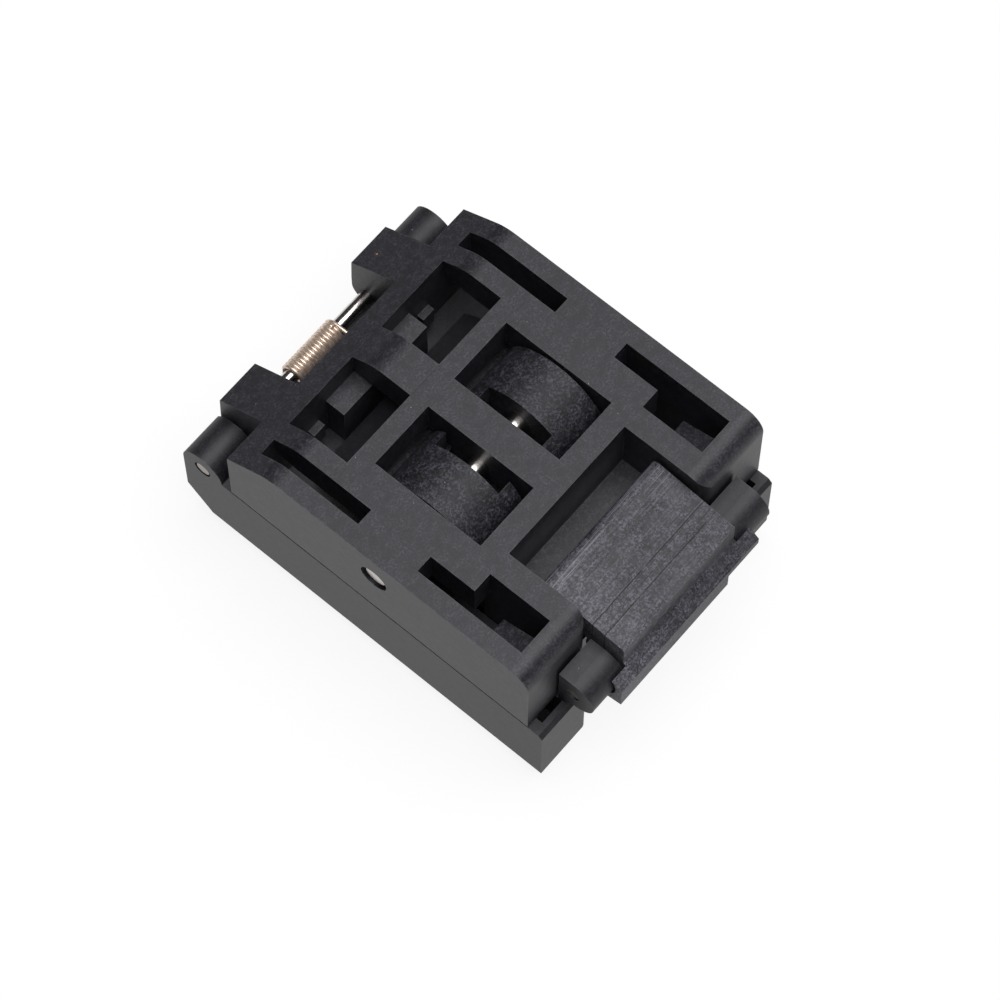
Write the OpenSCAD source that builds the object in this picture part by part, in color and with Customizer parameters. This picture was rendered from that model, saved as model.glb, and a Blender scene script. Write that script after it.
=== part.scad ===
// Clamshell socket for a flat, leaded integrated circuit.
// +X runs along the hinge, -Y is the latch side, +Z is up. The four locating posts stand on Z = 0,
// and X = 0, Y = 0 is the middle of the closed socket seen from above.

/* [Whole socket] */
// width of the base and of the lid, along the hinge
body_w = 44; // [43:0.2:46]
// front face of the base, measured forward from the middle
base_front = 26.4; // [26.2:0.1:26.8]
// rear face of the base and of its hinge ears, measured back from the middle
base_rear = 31.15; // [31:0.05:31.6]
// length of the locating posts below the board seat
post_l = 3; // [2:0.2:4]
// height of the base from the board seat to its rim
base_h = 12.3; // [12:0.1:12.4]
// parting gap between the rim of the base and the lid
part_gap = 0.3; // [0.2:0.05:0.4]
// height of the lid above the parting gap
lid_h = 14.1; // [14:0.1:14.6]

/* [Base] */
// radius of a locating post
post_r = 1.25; // [1:0.05:1.5]
// distance of the locating posts from the middle, sideways
post_x = 19; // [18:0.2:19.4]
// distance of the front posts from the middle
post_front = 19.6; // [18.6:0.2:20.6]
// distance of the rear posts from the middle
post_rear = 21.4; // [21:0.2:22]
// half size of the square well that holds the package
well_half = 14.2; // [14:0.1:14.4]
// thickness of the floor under the well
floor_t = 2.2; // [1.8:0.1:2.4]
// length of the slots for the rows of contacts beyond the end contacts
slot_end = 0.6; // [0.4:0.05:0.8]
// rounding of the edges of the latch recess
recess_round = 0.9; // [0.5:0.1:1.1]
// outer side of the pockets beside the latch lugs
pocket_out = 20.4; // [19.6:0.1:20.6]
// depth of the pockets beside the latch lugs
pocket_depth = 7; // [5:0.5:8]
// half width of the recess for the latch in the front of the base
recess_half = 13.3; // [13.3:0.05:13.6]
// depth of the latch recess behind the front face
recess_d = 4.4; // [4:0.2:4.6]
// thickness of the front wall beside the latch lugs
front_wall = 1.3; // [1:0.1:1.5]
// height of the rear wall between the hinge ears
rear_wall_h = 6; // [5:0.2:6.2]
// chamfer under the hinge ears
ear_chamfer = 3.9; // [3:0.1:4.2]

/* [Hinge] */
// distance of the hinge axis behind the middle
hinge_y = 28; // [27.9:0.05:28.1]
// height of the hinge axis above the board seat
hinge_h = 12.4; // [12.3:0.05:12.5]
// radius of the steel hinge pin
hinge_pin_r = 1; // [0.8:0.05:1.1]
// radius of the round hinge ears of the base
ear_r = 3.15; // [2.9:0.05:3.2]
// width of a hinge ear of the base
ear_w = 6.2; // [6:0.1:6.4]
// width of a hinge lug of the lid
lug_w = 6.5; // [6:0.1:6.8]
// side clearance between an ear and a lug
ear_gap = 0.3; // [0.2:0.05:0.4]
// radius of the round end of a lid lug
lug_r = 2.6; // [2.4:0.05:2.7]
// running clearance round the hinge pin
run_gap = 0.05; // [0.03:0.01:0.08]

/* [Hinge spring] */
// wire diameter of the hinge spring
spring_wire = 0.57; // [0.5:0.01:0.62]
// number of coils of the hinge spring
spring_coils = 16; // [9:1:18]
// left end of the hinge spring
spring_start = -5.5; // [-6.5:0.1:-5]
// clearance between the coils and the pin
coil_gap = 0.08; // [0.05:0.01:0.12]

/* [Lid] */
// thickness of the framed top of the lid
frame_t = 5.9; // [5.6:0.1:6]
// thickness of the side walls of the lid
lid_wall = 2.6; // [2.4:0.1:2.8]
// front face of the lid, measured forward from the middle
lid_front = 24.15; // [24.05:0.05:24.2]
// radius of the front top edge of the lid
lid_round = 2.8; // [2.2:0.1:3]
// rear face of the lid, measured back from the middle
lid_rear = 23.2; // [23:0.1:23.3]
// place where the rear slope of the lid starts
slope_y = 16.44; // [16:0.1:17]
// angle of the rear slope
slope_a = 30.2; // [28:0.2:31]
// thickness of the front wall of the lid
lid_front_wall = 3.25; // [3:0.05:3.5]
// thickness of the rear wall of the lid
lid_rear_wall = 3.3; // [3.1:0.05:3.6]
// length of the rear windows
rear_window_l = 9.3; // [8.8:0.1:9.6]
// outer side of the rear windows
rear_window_x = 14.25; // [13.8:0.05:14.4]
// front end of the middle windows, measured forward from the pressure pin
window_front = 8.4; // [8.3:0.05:8.6]
// rear end of the middle windows, measured back from the pressure pin
window_rear = 8.1; // [8:0.05:8.3]
// outer side of the middle windows
window_x = 12.15; // [12.1:0.05:12.4]
// inner side of the side slots
slot_x = 17; // [16.8:0.1:17.4]
// length of the rear side slots
rear_slot_l = 15.5; // [14:0.5:16]
// length of the front side slots
front_slot_l = 16; // [14.5:0.5:16.5]
// inner side of the wide front pockets
wide_x = 14.15; // [13.8:0.05:14.4]
// length of the wide front pockets
wide_l = 9.2; // [8.6:0.1:9.4]
// gap between the ribs in these pockets and the inner sides of the pockets
rib_gap = 1.55; // [1.3:0.05:1.6]
// width of these ribs
rib_w = 2.4; // [2:0.1:2.6]
// length of the catch ledge in front of the rear wall of the notch
catch_l = 4.2; // [3.6:0.1:4.3]
// depth of the catch ledge below the top of the lid
catch_depth = 9.8; // [9:0.1:10.4]
// thickness of the wall above the catch ledge
catch_wall = 1; // [0.8:0.05:1.1]
// rounding of the front corners of the notch
notch_round = 1.8; // [1:0.1:2.2]
// half width of the centre bar
bar_half = 2.4; // [2.2:0.1:2.6]
// half width of the notch for the latch
notch_half = 10.75; // [10.65:0.05:10.8]
// rear wall of the notch, measured forward from the middle
notch_y = 11.7; // [11.5:0.1:12]

/* [Pressure plate] */
// radius of the pressure pin
press_pin_r = 1.5; // [1.3:0.05:1.6]
// place of the pressure pin along Y
press_y = -0.1; // [-0.3:0.1:0.1]
// depth of the pressure pin below the top of the lid
press_depth = 5.2; // [5:0.1:5.4]
// depth of the end of the pin inside the lid wall
pin_recess = 0.4; // [0.3:0.1:0.6]
// depth of the ends of the hinge pin under the sides of the base
hinge_pin_recess = 0.1; // [0.1:0.05:0.3]
// radius of the counterbore round the pin end
counter_r = 2; // [1.9:0.05:2.2]
// half width of the pressure plate
plate_half = 13.9; // [13.4:0.1:14]
// distance from the middle to the rear end of the pressure plate
plate_rear = 16.2; // [16:0.1:16.3]
// length and drop of the slope at the rear end of the pressure plate
plate_slope = 3.7; // [3.5:0.1:3.9]
plate_drop = 2.6; // [2.5:0.1:2.7]
// depth of the top of the plate below the top of the lid
plate_top = 8.5; // [8.3:0.1:8.7]
// clearance under the plate, above the rim of the base
plate_gap = 0.75; // [0.7:0.05:1]
// radius of the round backs that show in the windows
back_r = 7.8; // [7.6:0.1:7.9]
// length of the pusher blades below the plate
blade_l = 2.9; // [2.6:0.1:3]

/* [Latch] */
// distance of the latch pin in front of the middle
latch_y = 26.65; // [26.6:0.05:26.7]
// height of the latch pin above the board seat
latch_h = 17.1; // [17:0.05:17.2]
// radius of the steel latch pin
latch_pin_r = 1; // [0.8:0.05:1.1]
// radius of the latch lugs of the base
knuckle_r = 3.2; // [3:0.05:3.3]
// width of a latch lug
knuckle_w = 5.9; // [5.5:0.1:6.1]
// half width of the latch between its lugs
latch_half = 10.4; // [10.2:0.05:10.4]
// front face of the latch over its lip, measured forward from the middle
latch_front = 29.2; // [29.1:0.05:29.4]
// half width of the thumb lip
lip_half = 13; // [12:0.1:13]
// depth of the lip below the top of the lid
lip_depth = 7.3; // [7:0.1:7.6]
// height of the lip where it leaves the latch
lip_h = 6; // [5.6:0.1:6.2]
// start of the relieved end of the lip, measured from the middle
relief_x = 7.3; // [6:0.1:9]
// front of the thumb lip, measured forward from the middle
lip_front = 31.15; // [31:0.05:31.4]
// rise of the lip at its relieved end
lip_relief = 2.6; // [1.5:0.1:2.8]
// rear end of the nose, measured forward from the middle
nose_y = 16.4; // [16.2:0.05:16.8]
// radius of the rear top edge of the nose
nose_r = 1.1; // [0.9:0.05:1.2]

/* [Package and contacts] */
// half size of the package body that fits the nest
package_half = 7.1; // [6.8:0.05:7.3]
// distance of the lead feet outside the package body
lead_reach = 1.2; // [1.15:0.05:1.3]
// thickness of the frame round the package
nest_wall = 0.7; // [0.5:0.05:0.75]
// height of the package seat over the floor of the well
seat_h = 3.4; // [3.3:0.05:3.5]
// contacts in one row
contact_count = 16; // [8:1:17]
// spacing of the contacts
contact_pitch = 0.8; // [0.5:0.05:0.85]
// thickness of a contact
contact_t = 0.3; // [0.2:0.02:0.34]
// thickness of the plate that holds the contacts
keeper_t = 1.4; // [1.2:0.1:1.6]
// head radius of a keeper screw
screw_head_r = 1.6; // [1.4:0.1:1.8]
// head height of a keeper screw
screw_head_h = 0.8; // [0.7:0.05:0.9]
// shank radius of a keeper screw
screw_shank_r = 0.78; // [0.74:0.01:0.79]
// length of a keeper screw with its head
screw_l = 5.4; // [5:0.1:5.5]

/* [Hidden] */
$fn = 64;
half_w = body_w / 2;
seat_z = post_l;
rim_z = seat_z + base_h;
lid_z = rim_z + part_gap;
top_z = lid_z + lid_h;
hinge_z = seat_z + hinge_h;
press_z = top_z - press_depth;
plate_z = top_z - plate_top;
latch_z = seat_z + latch_h;
frame_z = top_z - frame_t;
ear_in = half_w - ear_w;
lug_out = ear_in - ear_gap;
lug_in = lug_out - lug_w;
knuckle_in = latch_half + 0.4;
knuckle_out = knuckle_in + knuckle_w;
well_floor = seat_z + floor_t;
shoulder_z = seat_z + keeper_t;
lid_in_front = lid_front - lid_front_wall;
lid_in_rear = lid_rear - lid_rear_wall;
catch_front = notch_y + catch_l;
ear_front = hinge_y - ear_r;
recess_back = base_front - recess_d;
lead_half = package_half + lead_reach;
contact_back = lead_half + 2.15;
row_half = (contact_count - 1) / 2 * contact_pitch;
slot_half = row_half + slot_end;
blade_half = row_half + 0.75;
seat_half = well_half + 3.8;
screw_xy = well_half + 1.4;
plate_front = notch_y - catch_wall - 0.4;
lid_in = half_w - lid_wall;
coil_r = hinge_pin_r + coil_gap + spring_wire / 2;
coil_pitch = spring_wire * 0.96;
lead_z = rim_z - 2.9;
lip_z = top_z - lip_depth;
dark = [0.16, 0.16, 0.17];
steel = [0.8, 0.8, 0.82];

// points of an arc round (y, z)
function arc(y, z, r, a0, a1, n) =
    [for (i = [0:n]) [y + r * cos(a0 + (a1 - a0) * i / n), z + r * sin(a0 + (a1 - a0) * i / n)]];

// height of the sloped rear part of the lid at y
function slope_z(y) = top_z - (y - slope_y) * tan(slope_a);

// a box given by its low and high corners
module block(x0, x1, y0, y1, z0, z1) {
    translate([x0, y0, z0])
        cube([x1 - x0, y1 - y0, z1 - z0]);
}

// the same box on the left and on the right
module pair(x0, x1, y0, y1, z0, z1) {
    block(x0, x1, y0, y1, z0, z1);
    block(-x1, -x0, y0, y1, z0, z1);
}

// a rod along X
module rod(x0, x1, y, z, r) {
    translate([x0, y, z])
        rotate([0, 90, 0])
            cylinder(r = r, h = x1 - x0);
}

// a (y, z) outline drawn out along X
module along_x(x0, x1) {
    translate([x0, 0, 0])
        rotate([90, 0, 90])
            linear_extrude(height = x1 - x0)
                children();
}

// a round disc at (y, z) of a side outline
module disc(y, z, r) {
    translate([y, z])
        circle(r = r);
}

// side outline of a lug that carries the latch pin
module knuckle_outline() {
    back = lid_front + 0.35;
    difference() {
        disc(-latch_y, latch_z, knuckle_r);
        translate([-back, rim_z])
            square([2 * knuckle_r, top_z - rim_z]);
    }
    polygon([[-latch_y, latch_z + knuckle_r], [-latch_y, latch_z - knuckle_r],
        [-recess_back - 2.6, rim_z - 0.8], [-recess_back + 0.1, rim_z - 4.5],
        [-recess_back + 0.1, rim_z], [-back, rim_z], [-back, latch_z + knuckle_r]]);
}

module base_body() {
    difference() {
        along_x(-half_w, half_w)
            polygon([[-base_front, seat_z], [base_rear - ear_chamfer, seat_z],
                [base_rear, seat_z + ear_chamfer], [base_rear, hinge_z], [ear_front, hinge_z],
                [ear_front, rim_z], [-base_front + 0.6, rim_z], [-base_front, rim_z - 0.6]]);
        // space between the hinge ears
        block(-ear_in, ear_in, ear_front, base_rear + 1, seat_z + rear_wall_h, rim_z + 5);
        // package well
        block(-well_half, well_half, press_y - well_half, press_y + well_half, well_floor, rim_z + 1);
        // recess for the latch, with rounded side edges
        block(-recess_half, recess_half, -base_front - 1, -recess_back, seat_z - 1, rim_z + 1);
        for (s = [-1, 1])
            translate([s * (recess_half + recess_round), recess_round - base_front, seat_z - 1])
                difference() {
                    translate([s > 0 ? -recess_round - 0.1 : 0, -recess_round - 1, 0])
                        cube([recess_round + 0.1, recess_round + 1, base_h + 2]);
                    cylinder(r = recess_round, h = base_h + 2);
                }
        // pockets beside the latch lugs
        pair(knuckle_out, pocket_out, front_wall - base_front, -recess_back - 0.4,
            rim_z - pocket_depth, rim_z + 1);
    }
    // round hinge ears
    rod(-half_w, -ear_in, hinge_y, hinge_z, ear_r);
    rod(ear_in, half_w, hinge_y, hinge_z, ear_r);
    // lugs that carry the latch pin
    along_x(knuckle_in, knuckle_out)
        knuckle_outline();
    along_x(-knuckle_out, -knuckle_in)
        knuckle_outline();
    // posts that locate the socket on its board
    for (x = [-post_x, post_x], y = [-post_front, post_rear])
        translate([x, y, 0])
            cylinder(r = post_r, h = seat_z + 0.5);
}

module base() {
    color(dark)
        difference() {
            base_body();
            // bores for the hinge pin, wider at its ends
            rod(-half_w - 1, half_w + 1, hinge_y, hinge_z, hinge_pin_r + 0.02);
            for (x = [-half_w - 1, half_w - 0.3])
                rod(x, x + 1.3, hinge_y, hinge_z, hinge_pin_r + 0.25);
            // bores for the latch pin
            rod(-knuckle_out - 1, knuckle_out + 1, -latch_y, latch_z, latch_pin_r + 0.02);
            // seat of the keeper plate, open below
            block(-seat_half, seat_half, press_y - seat_half, press_y + seat_half,
                seat_z - 1, shoulder_z);
            // slots for the contacts through the floor
            contact_slots(lead_half - 0.5, contact_back + 0.35);
            // holes for the keeper screws
            at_screws(seat_z)
                cylinder(r = 0.8, h = 6);
        }
}

// four slots round the package, from near to far of the middle
module contact_slots(near, far) {
    for (s = [-1, 1]) {
        block(-slot_half, slot_half, press_y + (s > 0 ? near : -far), press_y + (s > 0 ? far : -near),
            0, rim_z);
        block(s > 0 ? near : -far, s > 0 ? far : -near, press_y - slot_half, press_y + slot_half,
            0, rim_z);
    }
}

// the four places of the keeper screws
module at_screws(z) {
    for (x = [-screw_xy, screw_xy], y = [-screw_xy, screw_xy])
        translate([x, press_y + y, z])
            children();
}

// plate under the base that holds the contacts in their slots
module keeper_plate() {
    half = seat_half - 0.2;
    color(dark)
        difference() {
            block(-half, half, press_y - half, press_y + half, seat_z, shoulder_z);
            at_screws(seat_z - 1) {
                cylinder(r = 0.95, h = keeper_t + 2);
                cylinder(r = screw_head_r + 0.15, h = 1.9);
            }
            contact_slots(lead_half + 0.2, contact_back + 0.1);
        }
}

module keeper_screws() {
    color(steel)
        at_screws(seat_z + 0.1)
            difference() {
                union() {
                    cylinder(r = screw_head_r, h = screw_head_h);
                    cylinder(r = screw_shank_r, h = screw_l);
                }
                // cross drive
                block(-1, 1, -0.18, 0.18, -0.1, 0.45);
                block(-0.18, 0.18, -1, 1, -0.1, 0.45);
            }
}

// square frame that centres the package over the contacts
module package_nest() {
    half = package_half + nest_wall;
    color(dark)
        difference() {
            block(-half, half, press_y - half, press_y + half, well_floor, lead_z - 0.3);
            block(-package_half, package_half, press_y - package_half, press_y + package_half,
                well_floor + seat_h, rim_z);
            for (a = [0:90:270])
                translate([0, press_y, 0])
                    rotate([0, 0, a])
                        block(-slot_half, slot_half, package_half - 0.15, half + 1,
                            well_floor + seat_h - 1, rim_z);
        }
}

// one stamped contact: a springy finger under the lead and a straight solder tail
module contact(tail) {
    c = lead_half;
    rotate([90, 0, 90])
        translate([0, 0, -contact_t / 2])
            linear_extrude(height = contact_t) {
                polygon([[c + 0.15, shoulder_z], [contact_back, shoulder_z],
                    [contact_back, lead_z - 2.1], [c + 1.1, lead_z - 0.4], [c + 0.3, lead_z],
                    [c - 0.3, lead_z - 0.1], [c - 0.3, lead_z - 0.5], [c + 0.3, lead_z - 0.6],
                    [c + 0.75, lead_z - 0.9], [c + 1.6, lead_z - 2.4], [c + 1.6, shoulder_z + 0.8],
                    [c + 0.15, shoulder_z + 0.8]]);
                translate([c + tail - 0.25, 0.25])
                    square([0.5, shoulder_z + 0.2]);
            }
}

module contact_row(a) {
    color([0.78, 0.66, 0.35])
        translate([0, press_y, 0])
            rotate([0, 0, a])
                for (i = [0:contact_count - 1])
                    translate([(i - (contact_count - 1) / 2) * contact_pitch, 0, 0])
                        contact(i % 2 == 0 ? 1.75 : 0.65);
}

module contacts_front() {
    contact_row(180);
}

module contacts_rear() {
    contact_row(0);
}

module contacts_left() {
    contact_row(90);
}

module contacts_right() {
    contact_row(270);
}

module hinge_pin() {
    color(steel)
        rod(-half_w + hinge_pin_recess, half_w - hinge_pin_recess, hinge_y, hinge_z, hinge_pin_r);
}

// close coils round a pin, from x0 to the right
module coils(x0, y, z, r, wire, count) {
    translate([x0, y, z])
        rotate([0, 90, 0])
            rotate_extrude($fn = 48)
                for (i = [0:count - 1])
                    translate([r, wire / 2 + i * wire * 0.96])
                        circle(d = wire, $fn = 16);
}

module hinge_spring() {
    w = spring_wire;
    x_end = spring_start + (spring_coils - 1) * coil_pitch + w / 2;
    color([0.72, 0.62, 0.5]) {
        coils(spring_start, hinge_y, hinge_z, coil_r, w, spring_coils);
        // leg that bears on the rear wall of the lid
        translate([x_end, hinge_y, hinge_z + coil_r])
            rotate([90, 0, 0])
                cylinder(d = w * 0.92, h = hinge_y - lid_rear - 0.05, $fn = 16);
        // leg that stands on the rear wall of the base
        translate([spring_start + w / 2, hinge_y + coil_r, seat_z + rear_wall_h + 0.05])
            cylinder(d = w * 0.92, h = hinge_h - rear_wall_h - 0.05, $fn = 16);
    }
}

// side outline of the whole lid
module lid_outline() {
    bend = 6;
    t = bend * tan(slope_a / 2);
    difference() {
        polygon(concat(
            [[-lid_front, lid_z], [-lid_front, top_z]],
            arc(slope_y - t, top_z - bend, bend, 90, 90 - slope_a, 16),
            [[lid_rear, slope_z(lid_rear)], [lid_rear, lid_z]]));
        // round front top edge
        difference() {
            translate([-lid_front - 1, top_z - lid_round])
                square([lid_round + 1, lid_round + 1]);
            disc(lid_round - lid_front, top_z - lid_round, lid_round);
        }
    }
}

// side outline of a lug that turns on the hinge pin
module lug_outline() {
    y0 = lid_rear - 0.5;
    y1 = hinge_y + lug_r;
    disc(hinge_y, hinge_z, lug_r);
    polygon([[y0, lid_z], [y0, slope_z(y0)], [y1 - 0.15, slope_z(y1 - 0.15)], [y1, hinge_z + 2],
        [y1, hinge_z], [hinge_y, hinge_z - 0.5], [hinge_y - 1, lid_z]]);
}

module lid_body() {
    y0 = -lid_in_front;
    y1 = lid_in_rear;
    difference() {
        along_x(-half_w, half_w)
            lid_outline();
        // hollow under the framed top
        block(-lid_in, lid_in, y0, y1, lid_z - 1, frame_z);
        // hollow that follows the rear slope
        along_x(-lid_in, lid_in)
            polygon([[10, frame_z - 1], [y1, frame_z - 1], [y1, slope_z(y1) - 3.4],
                [slope_y - 0.2, frame_z], [10, frame_z]]);
        // rear windows
        pair(bar_half + 0.25, rear_window_x, y1 - rear_window_l, y1, frame_z - 3, top_z + 1);
        // middle windows
        pair(bar_half, window_x, press_y - window_front, press_y + window_rear,
            frame_z - 1, top_z + 1);
        // side slots
        pair(slot_x, lid_in, y1 - rear_slot_l, y1, frame_z - 3, top_z + 1);
        pair(slot_x, lid_in, y0, y0 + front_slot_l, frame_z - 1, top_z + 1);
        // wide front pockets
        pair(wide_x, slot_x + 0.5, y0, y0 + wide_l, frame_z - 1, top_z + 1);
        // notch for the latch
        block(-notch_half, notch_half, -lid_front - 1, -notch_y, lid_z - 1, top_z + 1);
        // its rounded front corners
        for (s = [-1, 1])
            translate([s * (notch_half + notch_round), notch_round - lid_front, lid_z - 1])
                difference() {
                    translate([s > 0 ? -notch_round - 0.1 : 0, -notch_round - 1, 0])
                        cube([notch_round + 0.1, notch_round + 1, lid_h + 2]);
                    cylinder(r = notch_round, h = lid_h + 2);
                }
    }
    // lugs that turn on the hinge pin
    along_x(lug_in, lug_out)
        lug_outline();
    along_x(-lug_out, -lug_in)
        lug_outline();
    // wall behind the notch and catch ledge at its foot
    block(-wide_x, wide_x, -notch_y, catch_wall - notch_y, lid_z, frame_z + 1);
    block(-wide_x, wide_x, -catch_front, catch_wall - notch_y, lid_z, top_z - catch_depth);
    // cheeks beside the notch
    pair(notch_half, wide_x, y0 - 0.5, -notch_y, lid_z, frame_z + 1);
    // block inside the rear wall, under the centre bar
    block(-7.75, 7.75, y1 - 2.9, y1 + 0.3, lid_z, top_z - 6.4);
    // small stops beside it
    pair(9.25, 11.25, y1 - 1, y1 + 0.3, lid_z + 1.5, top_z - 9.5);
    // webs that carry the pressure pin
    block(-bar_half, bar_half, press_y - 4.4, press_y + 4.4, press_z - 2.6, frame_z + 1);
    pair(window_x, slot_x, press_y - 2.8, press_y + 2.8, press_z - 2.6, frame_z + 1);
    // sloped ribs in the wide front pockets
    rib_in = wide_x + rib_gap;
    rib_out = rib_in + rib_w;
    for (s = [-1, 1])
        along_x(s > 0 ? rib_in : -rib_out, s > 0 ? rib_out : -rib_in)
            polygon([[y0 - 0.5, lid_z + 2.4], [y0 - 0.5, top_z - 4], [y0 + 5.8, top_z - 6],
                [y0 + 5.8, top_z - 8.4], [y0 + 4.4, lid_z + 2.4]]);
}

module lid() {
    color(dark)
        difference() {
            lid_body();
            // bore of the hinge lugs
            rod(-half_w - 1, half_w + 1, hinge_y, hinge_z, hinge_pin_r + run_gap);
            // bore of the pressure pin and its counterbores
            rod(-half_w - 1, half_w + 1, press_y, press_z, press_pin_r + 0.02);
            for (x = [-half_w - 1, half_w - 1])
                rod(x, x + 2, press_y, press_z, counter_r);
        }
}

// plate that rocks on the pressure pin and presses the leads
module pressure_plate() {
    z0 = rim_z + plate_gap;
    color(dark)
        difference() {
            union() {
                along_x(-plate_half, plate_half)
                    polygon([[-plate_front, z0], [-plate_front, plate_z],
                        [plate_rear - plate_slope, plate_z],
                        [plate_rear, plate_z - plate_drop], [plate_rear, z0]]);
                // round backs that show in the middle windows
                difference() {
                    rod(0.3 - window_x, window_x - 0.3, press_y - 0.15, plate_z + 0.3, back_r);
                    block(-half_w, half_w, -20, 20, plate_z - 20, plate_z - 1);
                    block(-bar_half - 0.5, bar_half + 0.5, -20, 20, plate_z - 1.8, top_z);
                }
            }
            // pocket for the centre web of the lid
            block(-5, 5, press_y - 5.1, press_y + 4.9, plate_z - 1.8, top_z + 1);
            // bore for the pressure pin
            rod(-half_w, half_w, press_y, press_z, press_pin_r + run_gap);
            // grooves that seat the pusher blades
            blades(0.7, blade_half + 0.05, rim_z, z0 + 0.8);
        }
}

// four bars over the rows of leads
module blades(half, end, z0, z1) {
    for (s = [-1, 1]) {
        block(-end, end, press_y + s * lead_half - half, press_y + s * lead_half + half, z0, z1);
        block(s * lead_half - half, s * lead_half + half, press_y - end, press_y + end, z0, z1);
    }
}

// four blades that press the leads on the contacts
module pusher_blades() {
    z0 = rim_z + plate_gap;
    color([0.86, 0.82, 0.68])
        blades(0.65, blade_half, z0 - blade_l, z0 + 0.8);
}

module pressure_pin() {
    color(steel)
        rod(-half_w + pin_recess, half_w - pin_recess, press_y, press_z, press_pin_r);
}

// side outline of the thumb lip
module lip_outline() {
    polygon([[-latch_front, lip_z], [-lip_front, lip_z - 1.6], [-lip_front, lip_z - lip_h + 0.5],
        [-latch_front + 0.2, lip_z - lip_h]]);
}

// side outline of the latch from its nose to its thumb lip
module latch_outline() {
    disc(-latch_y, latch_z, knuckle_r);
    disc(-nose_y - nose_r, top_z - 3.1, nose_r);
    lip_outline();
    polygon([[-nose_y - 1.25, top_z - 2.03], [-latch_front, top_z - 3.6], [-latch_front, lip_z],
        [-latch_front + 0.2, lip_z - lip_h], [-latch_y, latch_z - knuckle_r], [-latch_y, latch_z],
        [-22.9, latch_z + 1.5], [-22.2, latch_z + 3], [-20.6, top_z - 7.2], [-nose_y - 0.5, top_z - 7.6],
        [-nose_y, top_z - 7.2], [-nose_y, top_z - 3.1]]);
}

module latch() {
    color(dark)
        difference() {
            union() {
                along_x(-latch_half, latch_half)
                    latch_outline();
                // thumb lip in front of the lugs
                along_x(-lip_half, lip_half)
                    lip_outline();
            }
            // bore for the latch pin
            rod(-half_w, half_w, -latch_y, latch_z, latch_pin_r + run_gap);
            // room for the round lugs
            rod(-half_w, -latch_half - 0.01, -latch_y, latch_z, knuckle_r + 0.35);
            rod(latch_half + 0.01, half_w, -latch_y, latch_z, knuckle_r + 0.35);
            // relieved end of the lip
            block(relief_x, half_w, -lip_front - 1, -latch_front + 1,
                lip_z - lip_h - 2, lip_z - lip_h + 0.5 + lip_relief);
            // gap for the latch spring
            block(-3.2, 3.2, -latch_y - 2.4, -20, latch_z - 4, latch_z + 1.95);
        }
}

module latch_pin() {
    color(steel)
        rod(-knuckle_out + 0.15, knuckle_out - 0.15, -latch_y, latch_z, latch_pin_r);
}

module latch_spring() {
    w = 0.6;
    r = latch_pin_r + coil_gap + w / 2;
    a = 50;
    color(steel) {
        coils(-2.4, -latch_y, latch_z, r, w, 8);
        // leg under the nose of the latch
        translate([-2.4 + w / 2, -latch_y, latch_z + r])
            rotate([-90, 0, 0])
                cylinder(d = w * 0.92, h = 3.6, $fn = 16);
        // leg against the rear of the latch recess
        translate([-2.4 + w * 7.22, -latch_y - r * sin(a), latch_z - r * cos(a)])
            rotate([-90 - a, 0, 0])
                cylinder(d = w * 0.92, h = (latch_y - recess_back + r * sin(a) - 0.55) / cos(a), $fn = 16);
    }
}

base();
keeper_plate();
keeper_screws();
package_nest();
contacts_front();
contacts_rear();
contacts_left();
contacts_right();
hinge_pin();
hinge_spring();
lid();
pressure_plate();
pusher_blades();
pressure_pin();
latch();
latch_pin();
latch_spring();
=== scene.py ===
"""Clamshell socket for a flat, leaded chip: finishes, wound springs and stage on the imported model."""

import math

import bmesh
import bpy
from mathutils import Matrix, Vector


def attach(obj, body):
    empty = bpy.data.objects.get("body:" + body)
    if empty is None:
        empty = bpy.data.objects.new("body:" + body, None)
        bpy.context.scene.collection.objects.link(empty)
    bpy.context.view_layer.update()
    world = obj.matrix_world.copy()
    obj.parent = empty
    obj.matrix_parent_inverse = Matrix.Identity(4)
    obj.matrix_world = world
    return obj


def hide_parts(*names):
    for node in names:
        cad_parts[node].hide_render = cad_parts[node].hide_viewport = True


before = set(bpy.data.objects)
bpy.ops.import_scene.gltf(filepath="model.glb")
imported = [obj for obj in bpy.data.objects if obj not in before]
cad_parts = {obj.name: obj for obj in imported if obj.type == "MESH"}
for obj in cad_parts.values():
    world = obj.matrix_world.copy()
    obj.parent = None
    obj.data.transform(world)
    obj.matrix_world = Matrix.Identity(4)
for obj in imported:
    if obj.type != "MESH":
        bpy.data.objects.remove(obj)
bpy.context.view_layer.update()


# --- Camera ---------------------------------------------------------------------------------------
# A long lens, half a metre away, looks steeply down on the closed socket over its left front corner.
# It is aimed at the level of the lid's top.
MM = 0.001
CAMERA_TARGET = Vector((-6.169, -6.457, 29.7)) * MM
CAMERA_FAR = 514.43 * MM
CAMERA_TURN = math.radians(49.822)
CAMERA_RISE = math.radians(66.956)
LENS_MM = 155.857
SENSOR_MM = 36.0
CLIP_NEAR, CLIP_FAR = 0.01, 20.0

camera_data = bpy.data.cameras.new("camera")
camera_data.lens = LENS_MM
camera_data.sensor_width = SENSOR_MM
camera_data.clip_start = CLIP_NEAR
camera_data.clip_end = CLIP_FAR
camera = bpy.data.objects.new("camera", camera_data)
bpy.context.scene.collection.objects.link(camera)
away = Vector((
    -math.sin(CAMERA_TURN) * math.cos(CAMERA_RISE),
    -math.cos(CAMERA_TURN) * math.cos(CAMERA_RISE),
    math.sin(CAMERA_RISE),
))
camera.location = CAMERA_TARGET + away * CAMERA_FAR
camera.rotation_euler = away.to_track_quat("Z", "Y").to_euler()
bpy.context.scene.camera = camera


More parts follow.
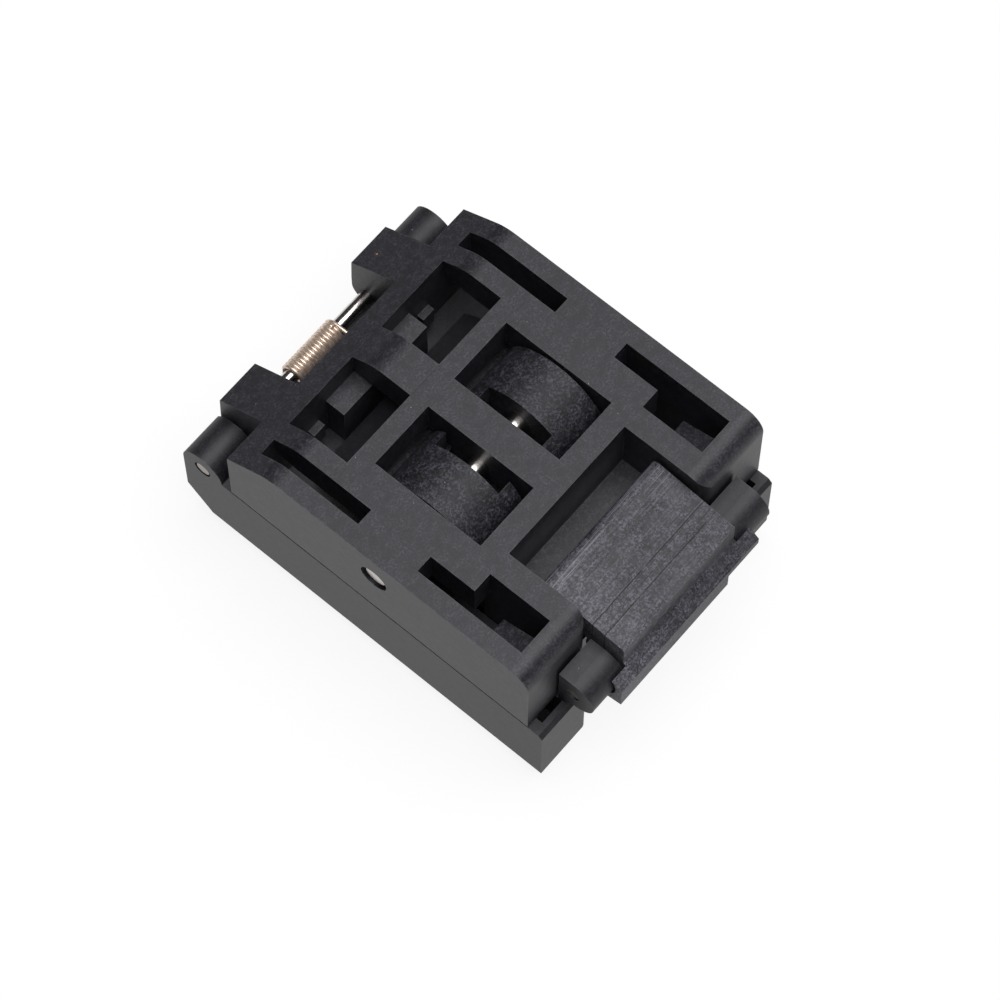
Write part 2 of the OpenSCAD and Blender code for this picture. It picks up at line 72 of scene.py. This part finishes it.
# --- Base and package nest ------------------------------------------------------------------------
# The base is moulded in a black, glass-filled plastic: a dull skin with a fine grain, paler along
# its edges, partly from rubbing and partly as a painted highlight, and a little dust. The nest, of
# the same plastic, lies in its well and centres the chip.
class Socket:
    """an output of a shader node: sums on it add Math nodes, and any other node comes from node()"""

    def __init__(self, tree, out=None):
        self.tree = tree
        self.out = out

    def node(self, kind, settings=None, values=None, out=0):
        made = self.tree.nodes.new("ShaderNode" + kind)
        for key, value in (settings or {}).items():
            setattr(made, key, value)
        for key, value in (values or {}).items():
            if isinstance(value, Socket):
                self.tree.links.new(value.out, made.inputs[key])
            else:
                made.inputs[key].default_value = value
        return Socket(self.tree, made.outputs[out])

    def other(self, out):
        """another output of the same node"""
        return Socket(self.tree, self.out.node.outputs[out])

    def sum(self, operation, *others):
        return self.node("Math", {"operation": operation}, dict(enumerate((self, *others))))

    def __add__(self, other):
        return self.sum("ADD", other)

    __radd__ = __add__

    def __mul__(self, other):
        return self.sum("MULTIPLY", other)

    __rmul__ = __mul__

    def __sub__(self, other):
        return self.sum("SUBTRACT", other)

    def __rsub__(self, other):
        return self.node("Math", {"operation": "SUBTRACT"}, {0: other, 1: self})

    def __gt__(self, other):
        return self.sum("GREATER_THAN", other)

    def __lt__(self, other):
        return self.sum("LESS_THAN", other)

    def rise(self, low, high):
        """0 at low, 1 at high, straight between them and level beyond"""
        return self.node("MapRange", {}, {0: self, 1: low, 2: high})

    def between(self, low, high, soft):
        """1 inside low..high, with a soft edge"""
        return self.rise(low - soft, low + soft) * (1 - self.rise(high - soft, high + soft))


def new_material(name):
    material = bpy.data.materials.new(name)
    material.use_nodes = True
    tree = material.node_tree
    tree.nodes.clear()
    return material, Socket(tree)


def finish_surface(start, shader):
    out = start.tree.nodes.new("ShaderNodeOutputMaterial")
    start.tree.links.new(shader.out, out.inputs["Surface"])


def mix_colour(start, factor, low, high):
    # a Mix node has several kinds of A, B and Result; 6, 7 and 2 are the ones for colours
    return start.node("Mix", {"data_type": "RGBA"}, {0: factor, 6: low, 7: high}, out=2)


def times(tone, share):
    return tuple(c * share for c in tone) + (1.0,)


def in_millimetres(start):
    place = start.node("TexCoord", out="Object")
    return start.node("VectorMath", {"operation": "SCALE"}, {0: place, "Scale": 1 / MM})


def noise(start, place, scale, detail=2.0, rough=0.5):
    """scale is in marks to the millimetre"""
    values = {"Vector": place, "Scale": scale, "Detail": detail, "Roughness": rough}
    return start.node("TexNoise", {}, values)


def bump(start, strength, depth, height):
    """depth in mm"""
    return start.node("Bump", {}, {"Strength": strength, "Distance": depth * MM, "Height": height})


def dress(node, material):
    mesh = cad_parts[node].data
    mesh.materials.clear()
    mesh.materials.append(material)


SKIN_MARKS, PATCH_MARKS, CLOUD_MARKS = 3.4, 0.9, 0.4
SKIN_DEPTH = 0.02
SPECK_LEVEL = 0.54
EDGE_EASE = 0.2
EDGE_WEAR_AND_GLINT_TONE = (0.10, 0.10, 0.107, 1.0)
DUST_MARKS, DUST_SIZE = 1.3, 0.075
DUST_TONE = (0.30, 0.29, 0.29, 1.0)


def moulded(name, tone, specks, grain, dust, rough, marks=None, fade=0.14):
    """specks is the tone of the glass specks and fade how softly they end, dust the share of the
    cells with a fleck; marks gives a piece its own colour and cut lines"""
    material, start = new_material(name)
    place = in_millimetres(start)
    fine = noise(start, place, SKIN_MARKS, 4.0, 0.75)
    broad = noise(start, place, CLOUD_MARKS, 3.0, 0.55)
    # rubbed edges, paler partly from wear and partly as a painted highlight: the eased normal departs
    # from the one of the face
    faced = start.node("NewGeometry", out="Normal")
    eased = start.node("Bevel", {"samples": 4}, {"Radius": EDGE_EASE * MM})
    match = start.node("VectorMath", {"operation": "DOT_PRODUCT"}, {0: faced, 1: eased}, out="Value")
    edge_wear_and_glint = match.rise(0.99, 0.80) * broad.rise(0.38, 0.66)
    # dust: a few pale flecks, each in its own cell
    near = start.node("TexVoronoi", {}, {"Vector": place, "Scale": DUST_MARKS}, out="Distance")
    pick = start.node("SeparateColor", {}, {0: near.other("Color")})
    fleck = (near < DUST_SIZE) * (pick > 1.0 - dust)
    cloud = broad.rise(0.3, 0.7)
    patch = noise(start, place, PATCH_MARKS, 2.0).rise(0.35, 0.65)
    speck = fine.rise(SPECK_LEVEL - fade, SPECK_LEVEL + fade) * (0.35 + 0.9 * patch)
    colour = mix_colour(start, cloud, times(tone, 0.7), times(tone, 1.3))
    colour = mix_colour(start, speck, colour, (specks, specks * 0.98, specks * 1.25, 1.0))
    height = fine
    if marks:
        colour, cut = marks(start, place, colour, speck)
        height = fine - cut
    # painted highlight: the edges are paled partly as wear and partly in place of light caught on them
    colour = mix_colour(start, edge_wear_and_glint * 0.8, colour, EDGE_WEAR_AND_GLINT_TONE)
    colour = mix_colour(start, fleck, colour, DUST_TONE)
    shader = start.node("BsdfPrincipled", {}, {
        "Base Color": colour,
        "Roughness": rough - 0.1 + 0.2 * fine,
        "Specular IOR Level": 0.5,
        "Normal": bump(start, grain, SKIN_DEPTH, height),
    })
    finish_surface(start, shader)
    return material


base_plastic = moulded("base_plastic", tone=(0.007, 0.007, 0.009), specks=0.028, grain=0.45,
                       dust=0.02, rough=0.52)
dress("base", base_plastic)
dress("package_nest", base_plastic)


# --- Contacts -------------------------------------------------------------------------------------
# Four rows of springs stamped from strip and plated with a thin, slightly uneven yellow metal. They
# stand in slots of the base, with their tails down through the keeper plate.
PLATING_DULL, PLATING_BRIGHT = (0.70, 0.52, 0.22, 1.0), (0.88, 0.72, 0.38, 1.0)
METAL_DEPTH = 0.01


def plated_strip():
    material, start = new_material("contact_plating")
    place = in_millimetres(start)
    cloud = noise(start, place, 1.6, 3.0)
    shader = start.node("BsdfPrincipled", {}, {
        "Base Color": mix_colour(start, cloud, PLATING_DULL, PLATING_BRIGHT),
        "Metallic": 1.0,
        "Roughness": 0.24 + 0.2 * cloud,
        "Normal": bump(start, 0.2, METAL_DEPTH, noise(start, place, 12.0)),
    })
    finish_surface(start, shader)
    return material


contact_plating = plated_strip()
for side in ("front", "rear", "left", "right"):
    dress("contacts_" + side, contact_plating)


# --- Keeper plate and its screws ------------------------------------------------------------------
# A plate of the base's plastic closes the base from below and keeps the contacts in. Four plated
# steel screws hold it.
def stretched(start, place, x, y, z):
    return start.node("VectorMath", {"operation": "MULTIPLY"}, {0: place, 1: (x, y, z)})


STAINED_SHARE = 0.72
SAWN_ROUGHER = 0.2


def ground_steel(name, tone, rough, rings, end_tone):
    """rings to the millimetre along X; end_tone is the tone of the sawn ends, against 1 elsewhere"""
    material, start = new_material(name)
    place = in_millimetres(start)
    facing = start.node("SeparateXYZ", {}, {0: start.node("TexCoord", out="Normal")})
    sawn = facing.sum("ABSOLUTE") > 0.9
    ring = noise(start, stretched(start, place, rings, 0.3, 0.3), 1.0, 3.0, 0.7)
    stain = noise(start, place, 0.7, 3.0, 0.6)
    colour = mix_colour(start, stain.rise(0.35, 0.6), times(tone, STAINED_SHARE), times(tone, 1.0))
    colour = mix_colour(start, sawn, colour, times(tone, end_tone))
    shader = start.node("BsdfPrincipled", {}, {
        "Base Color": colour,
        "Metallic": 1.0,
        "Roughness": rough + 0.16 * ring + SAWN_ROUGHER * sawn,
        "Normal": bump(start, 0.02, METAL_DEPTH, ring),
    })
    finish_surface(start, shader)
    return material


dress("keeper_plate", base_plastic)
dress("keeper_screws", ground_steel("screw_steel", tone=(0.62, 0.62, 0.62), rough=0.3, rings=3.0,
                                    end_tone=1.0))


# --- Hinge pin and hinge spring -------------------------------------------------------------------
# The pin is ground rod with dull sawn ends, pressed into the ears of the base. Round it lies a
# close-wound torsion spring of drawn wire, with one leg against the base and one against the lid.
hinge_pin_steel = ground_steel("hinge_pin_steel", tone=(0.66, 0.61, 0.58), rough=0.12, rings=4.0,
                               end_tone=0.42)
dress("hinge_pin", hinge_pin_steel)

WIRE_SIDES = 12
STEPS_A_TURN = 28


def wire_metal(name, low, high, rough):
    """low and high are the darkest and the palest tone along the wire"""
    material, start = new_material(name)
    place = in_millimetres(start)
    cloud = noise(start, place, 1.8, 3.0, 0.6)
    draw = noise(start, place, 9.0, 2.0, 0.6)
    shader = start.node("BsdfPrincipled", {}, {
        "Base Color": mix_colour(start, cloud.rise(0.3, 0.7), low, high),
        "Metallic": 0.75,
        "Roughness": rough + 0.2 * draw,
        "Normal": bump(start, 0.3, METAL_DEPTH, draw),
    })
    finish_surface(start, shader)
    return material


def wound_spring(name, axis, coil, wire, first_x, first_angle, turns, pitch, legs):
    """turns of wire round an axis along X; legs holds the length of the first or last leg, in mm"""
    shape = bmesh.new()
    y, z = axis
    centre = Vector((first_x, y, z)) * MM
    ring = bmesh.ops.create_circle(shape, segments=WIRE_SIDES, radius=wire / 2 * MM)["verts"]
    angle = math.radians(first_angle)
    # the ring stands across the wire at the first end of the coil
    out = Vector((0, math.cos(angle), math.sin(angle)))
    along = Vector((0, -math.sin(angle), math.cos(angle)))
    turn = Matrix((out, Vector((1, 0, 0)), along)).transposed().to_4x4()
    bmesh.ops.transform(shape, verts=ring, matrix=turn)
    bmesh.ops.translate(shape, verts=ring, vec=centre + out * coil * MM)
    first = list(shape.edges)
    steps = int(round(turns * STEPS_A_TURN))
    made = bmesh.ops.spin(shape, geom=first, cent=centre, axis=(1, 0, 0),
                          angle=math.tau * turns, steps=steps,
                          dvec=Vector((pitch * turns / steps * MM, 0, 0)))
    last = [e for e in made["geom_last"] if isinstance(e, bmesh.types.BMEdge)]
    for end, open_edges in (("first", first), ("last", last)):
        if end in legs:
            end_angle = angle + (math.tau * turns if end == "last" else 0.0)
            way = Vector((0, -math.sin(end_angle), math.cos(end_angle)))
            grown = bmesh.ops.extrude_edge_only(shape, edges=open_edges)["geom"]
            tips = [v for v in grown if isinstance(v, bmesh.types.BMVert)]
            reach = legs[end] if end == "last" else -legs[end]
            bmesh.ops.translate(shape, verts=tips, vec=way * reach * MM)
            open_edges = [e for e in grown if isinstance(e, bmesh.types.BMEdge)]
        bmesh.ops.holes_fill(shape, edges=open_edges, sides=0)
    bmesh.ops.recalc_face_normals(shape, faces=shape.faces)
    mesh = bpy.data.meshes.new(name)
    shape.to_mesh(mesh)
    shape.free()
    for face in mesh.polygons:
        face.use_smooth = True
    piece = bpy.data.objects.new(name, mesh)
    bpy.context.scene.collection.objects.link(piece)
    return piece


def fit_spring(piece, wire_finish, node, body):
    piece.data.materials.append(wire_finish)
    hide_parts(node)
    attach(piece, body)


# the last turn of wire, with the leg against the lid, goes round with the lid
HINGE_AXIS = (28.0, 15.4)
HINGE_COIL, HINGE_WIRE, HINGE_PITCH = 1.365, 0.57, 0.538
HINGE_FIRST_X, HINGE_STILL_TURNS = -5.215, 14.25
HINGE_BASE_LEG, HINGE_LID_LEG = 6.3, 4.7
hinge_finish = wire_metal("hinge_wire", low=(0.62, 0.49, 0.39, 1.0), high=(0.95, 0.80, 0.68, 1.0),
                          rough=0.28)
hinge_coils = wound_spring("hinge_spring_coils", HINGE_AXIS, HINGE_COIL, HINGE_WIRE,
                           first_x=HINGE_FIRST_X, first_angle=0.0, turns=HINGE_STILL_TURNS,
                           pitch=HINGE_PITCH, legs={"first": HINGE_BASE_LEG})
fit_spring(hinge_coils, hinge_finish, "hinge_spring", "base_body")
hinge_leg = wound_spring("hinge_spring_leg", HINGE_AXIS, HINGE_COIL, HINGE_WIRE,
                         first_x=HINGE_FIRST_X + HINGE_STILL_TURNS * HINGE_PITCH, first_angle=90.0,
                         turns=1.0, pitch=HINGE_PITCH, legs={"last": HINGE_LID_LEG})
fit_spring(hinge_leg, hinge_finish, "hinge_spring", "lid_body")


# --- Lid ------------------------------------------------------------------------------------------
# The lid, of the same kind of plastic as the base, turns on the hinge pin. Faint joints of the mould
# inserts cross its centre bar at both ends of the rear windows. One orange fleck lies on a lug.
BAR_HALF = 2.6
INSERT_LINES = (19.9, 10.6)
INSERT_LINE_HALF = 0.06
INSERT_TONE = (0.006, 0.006, 0.007, 1.0)
FLECK_PLACE = (11.51, 28.37, 22.75)
FLECK_SIZE = 0.15
FLECK_TONE = (0.42, 0.17, 0.07, 1.0)
# the lower edge of the lid is eased; a thin band along it is painted dark, as painted shade for the
# parting gap
LID_EDGE, LID_EDGE_H = 15.6, 0.22
GAP_SHADE_TONE = (0.001, 0.001, 0.001, 1.0)


def insert_joints_and_gap_shade(start, place, colour, speck):
    across = start.node("SeparateXYZ", {}, {0: place})
    back = across.other("Y")
    # painted shade: the band along the lid's lower edge is darkened in place of the gap's shadow
    gap_shade = across.other("Z") < LID_EDGE + LID_EDGE_H
    colour = mix_colour(start, gap_shade * 0.95, colour, GAP_SHADE_TONE)
    cut = 0.0
    for line in INSERT_LINES:
        joint = back.between(line - INSERT_LINE_HALF, line + INSERT_LINE_HALF, 0.03)
        cut = cut + joint * across.between(-BAR_HALF, BAR_HALF, 0.05)
    colour = mix_colour(start, cut * 0.7, colour, INSERT_TONE)
    gap = start.node("VectorMath", {"operation": "DISTANCE"}, {0: place, 1: FLECK_PLACE}, out="Value")
    return mix_colour(start, gap < FLECK_SIZE, colour, FLECK_TONE), cut


dress("lid", moulded("lid_plastic", tone=(0.007, 0.007, 0.010), specks=0.046, grain=0.45, dust=0.03,
                     rough=0.5, marks=insert_joints_and_gap_shade, fade=0.10))


# --- Pressure plate -------------------------------------------------------------------------------
# The plate, of the same kind of plastic, rocks on the pressure pin inside the lid. Its round backs,
# which show in the windows, are rough; its rear slope is painted darker and plainer, as painted shade.
PLATE_SHADE_FROM = 8.5
SLOPE_SHADE_TONE = (0.012, 0.012, 0.015, 1.0)


def shaded_rear_slope(start, place, colour, speck):
    back = start.node("SeparateXYZ", {}, {0: place}, out="Y")
    # painted shade: the rear slope is darkened and its specks are toned down
    slope_shade = back > PLATE_SHADE_FROM
    return mix_colour(start, slope_shade * 0.85, colour, SLOPE_SHADE_TONE), 0.0


dress("pressure_plate", moulded("plate_plastic", tone=(0.001, 0.001, 0.002), specks=0.068, grain=1.0,
                                dust=0.10, rough=0.62, marks=shaded_rear_slope, fade=0.09))


# --- Pusher blades --------------------------------------------------------------------------------
# The four blades are moulded in an uncoloured, heat-proof plastic, pale and waxy. They are fixed
# under the plate and press the leads of the chip down.
BLADE_DARK, BLADE_PALE = (0.50, 0.44, 0.31, 1.0), (0.66, 0.60, 0.46, 1.0)


def natural_plastic():
    material, start = new_material("blade_plastic")
    place = in_millimetres(start)
    cloud = noise(start, place, 0.8, 3.0)
    fine = noise(start, place, 7.0, 2.0)
    shader = start.node("BsdfPrincipled", {}, {
        "Base Color": mix_colour(start, cloud, BLADE_DARK, BLADE_PALE),
        "Roughness": 0.35 + 0.2 * fine,
        "Normal": bump(start, 0.3, SKIN_DEPTH, fine),
    })
    finish_surface(start, shader)
    return material


dress("pusher_blades", natural_plastic())


# --- Pressure pin ---------------------------------------------------------------------------------
# Ground rod, thicker than the other two pins, pressed into the side walls of the lid. Its ends are
# clean and pale. The pressure plate hangs on it.
dress("pressure_pin", ground_steel("pin_steel", tone=(0.74, 0.69, 0.66), rough=0.12, rings=4.0,
                                   end_tone=0.85))


# --- Latch ----------------------------------------------------------------------------------------
# The latch, moulded like the base, turns between its two lugs. Fingers have rubbed it: dense pale
# specks, two long dark lines and many fine scratches along it, thickest at the rear and to the left.
# To the left its pale specks are also painted brighter, as painted glints.
LATCH_REAR = -16.4
REAR_WEAR_FROM, REAR_WEAR_TO, REAR_WEAR_SOFT = LATCH_REAR - 3.2, LATCH_REAR + 1.0, 1.2
LEFT_WEAR_GLINT_FROM, LEFT_WEAR_GLINT_FULL = -2.0, -11.0
LATCH_LINES = (-24.35, -26.25)
LATCH_LINE_HALF, LATCH_LINE_WANDER = 0.055, 0.15
WORN_TONE = (0.080, 0.079, 0.092, 1.0)
SCRATCH_TONE = (0.24, 0.24, 0.265, 1.0)
GLINT_SPECK_TONE = (0.24, 0.235, 0.27, 1.0)
HAIR_CUT_TONE = (0.005, 0.005, 0.006, 1.0)
LINE_TONE = (0.002, 0.002, 0.002, 1.0)


def finger_wear_and_glints(start, place, colour, speck):
    across = start.node("SeparateXYZ", {}, {0: place})
    back = across.other("Y")
    wander = noise(start, stretched(start, place, 0.3, 0.0, 0.0), 1.0, 2.0)
    broken = noise(start, stretched(start, place, 0.35, 0.6, 0.0), 1.0, 2.0)
    hair = noise(start, stretched(start, place, 0.08, 7.0, 7.0), 1.0, 3.0, 0.6)
    worn = noise(start, place, 0.32, 3.0, 0.6).rise(0.35, 0.68)
    left = across.rise(LEFT_WEAR_GLINT_FROM, LEFT_WEAR_GLINT_FULL)
    rear = back.between(REAR_WEAR_FROM, REAR_WEAR_TO, REAR_WEAR_SOFT)
    colour = mix_colour(start, worn * 0.35 + left * 0.25, colour, WORN_TONE)
    thick = 0.14 + 0.40 * rear + 0.8 * rear * left
    colour = mix_colour(start, hair.rise(0.54, 0.66) * thick, colour, SCRATCH_TONE)
    # painted highlight: the specks are made paler to the left, in place of glints of light
    colour = mix_colour(start, left * speck * 0.5, colour, GLINT_SPECK_TONE)
    dark = hair.rise(0.42, 0.34) * 0.6
    colour = mix_colour(start, dark, colour, HAIR_CUT_TONE)
    cut = 0.5 * dark
    for line in LATCH_LINES:
        moved = back + LATCH_LINE_WANDER * (wander - 0.5)
        groove = moved.between(line - LATCH_LINE_HALF, line + LATCH_LINE_HALF, 0.04)
        groove = groove * broken.rise(0.30, 0.40)
        colour = mix_colour(start, groove * 0.95, colour, LINE_TONE)
        cut = cut + 1.5 * groove
    return colour, cut


dress("latch", moulded("latch_plastic", tone=(0.004, 0.004, 0.005), specks=0.120, grain=1.0,
                       dust=0.06, rough=0.58, marks=finger_wear_and_glints, fade=0.09))


# --- Latch pin and latch spring -------------------------------------------------------------------
# The latch pin is of the same rod as the hinge pin and is pressed into the latch lugs. The steel wire
# spring round it pushes the latch shut, with one leg under the latch and one against the base.
dress("latch_pin", hinge_pin_steel)

# the first turn of wire, with the leg under the latch, goes round with the latch
LATCH_AXIS = (-26.65, 20.1)
LATCH_COIL, LATCH_WIRE, LATCH_PITCH = 1.38, 0.6, 0.576
LATCH_FIRST_X, LATCH_STILL_TURNS = -2.1, 6.361
LATCH_NOSE_LEG, LATCH_BASE_LEG = 3.4, 7.9
latch_finish = wire_metal("latch_wire", low=(0.42, 0.41, 0.40, 1.0), high=(0.62, 0.61, 0.60, 1.0),
                          rough=0.25)
latch_leg = wound_spring("latch_spring_leg", LATCH_AXIS, LATCH_COIL, LATCH_WIRE,
                         first_x=LATCH_FIRST_X, first_angle=90.0, turns=1.0, pitch=LATCH_PITCH,
                         legs={"first": LATCH_NOSE_LEG})
fit_spring(latch_leg, latch_finish, "latch_spring", "latch_body")
latch_coils = wound_spring("latch_spring_coils", LATCH_AXIS, LATCH_COIL, LATCH_WIRE,
                           first_x=LATCH_FIRST_X + LATCH_PITCH, first_angle=90.0,
                           turns=LATCH_STILL_TURNS, pitch=LATCH_PITCH,
                           legs={"last": LATCH_BASE_LEG})
fit_spring(latch_coils, latch_finish, "latch_spring", "base_body")


# --- Floor, backdrop and light --------------------------------------------------------------------
# A plain white sheet under the socket and one very wide soft lamp straight over it, so the tops and,
# by way of the sheet, the outer walls are lit and the hollows stay dark. The rest of the room is dim.
PLAIN_WHITE = (1.0, 1.0, 1.0, 1.0)
SHEET_HALF = 1.5
SHEET_TONE = (0.86, 0.86, 0.86, 1.0)
SHEET_GLOW, SHEET_GLOW_SHARE = 1.04, 0.84

floor_shape = bmesh.new()
bmesh.ops.create_grid(floor_shape, x_segments=1, y_segments=1, size=SHEET_HALF)
floor_mesh = bpy.data.meshes.new("floor")
floor_shape.to_mesh(floor_mesh)
floor_shape.free()
floor = bpy.data.objects.new("floor", floor_mesh)
bpy.context.scene.collection.objects.link(floor)
floor_material, start = new_material("floor_sheet")
# to the camera, and in the steel, the sheet glows white and keeps only a part of its shadow
camera_ray = start.node("LightPath", out="Is Camera Ray")
seen = camera_ray + start.node("LightPath", out="Is Glossy Ray")
sheet = start.node("BsdfDiffuse", {}, {"Color": SHEET_TONE})
glow = start.node("Emission", {}, {"Color": PLAIN_WHITE, "Strength": SHEET_GLOW})
share = (seen * SHEET_GLOW_SHARE).sum("MINIMUM", SHEET_GLOW_SHARE)
finish_surface(start, start.node("MixShader", {}, {0: share, 1: sheet, 2: glow}))
floor.data.materials.append(floor_material)

ROOM_TONE, ROOM_GLOW = (0.93, 0.94, 1.0, 1.0), 0.05
world = bpy.data.worlds.new("studio")
bpy.context.scene.world = world
world.use_nodes = True
world.node_tree.nodes.clear()
sky = Socket(world.node_tree)
seen = sky.node("LightPath", out="Is Camera Ray")
room = sky.node("Background", {}, {"Color": ROOM_TONE, "Strength": ROOM_GLOW})
white = sky.node("Background", {}, {"Color": PLAIN_WHITE, "Strength": 1.0})
shown = sky.node("MixShader", {}, {0: seen, 1: room, 2: white})
world_out = world.node_tree.nodes.new("ShaderNodeOutputWorld")
world.node_tree.links.new(shown.out, world_out.inputs["Surface"])

LAMP_PLACE = (0.06, -0.12, 0.85)
LAMP_WIDTH = 0.95
LAMP_WATTS = 9.4
LAMP_TONE = (0.985, 0.985, 1.0)
lamp_data = bpy.data.lights.new("wide_lamp", "AREA")
lamp_data.shape = "DISK"
lamp_data.size = LAMP_WIDTH
lamp_data.energy = LAMP_WATTS
lamp_data.color = LAMP_TONE
lamp = bpy.data.objects.new("wide_lamp", lamp_data)
lamp.location = LAMP_PLACE
lamp.rotation_euler = Vector(LAMP_PLACE).to_track_quat("Z", "Y").to_euler()
bpy.context.scene.collection.objects.link(lamp)

bpy.context.scene.view_settings.view_transform = "Standard"
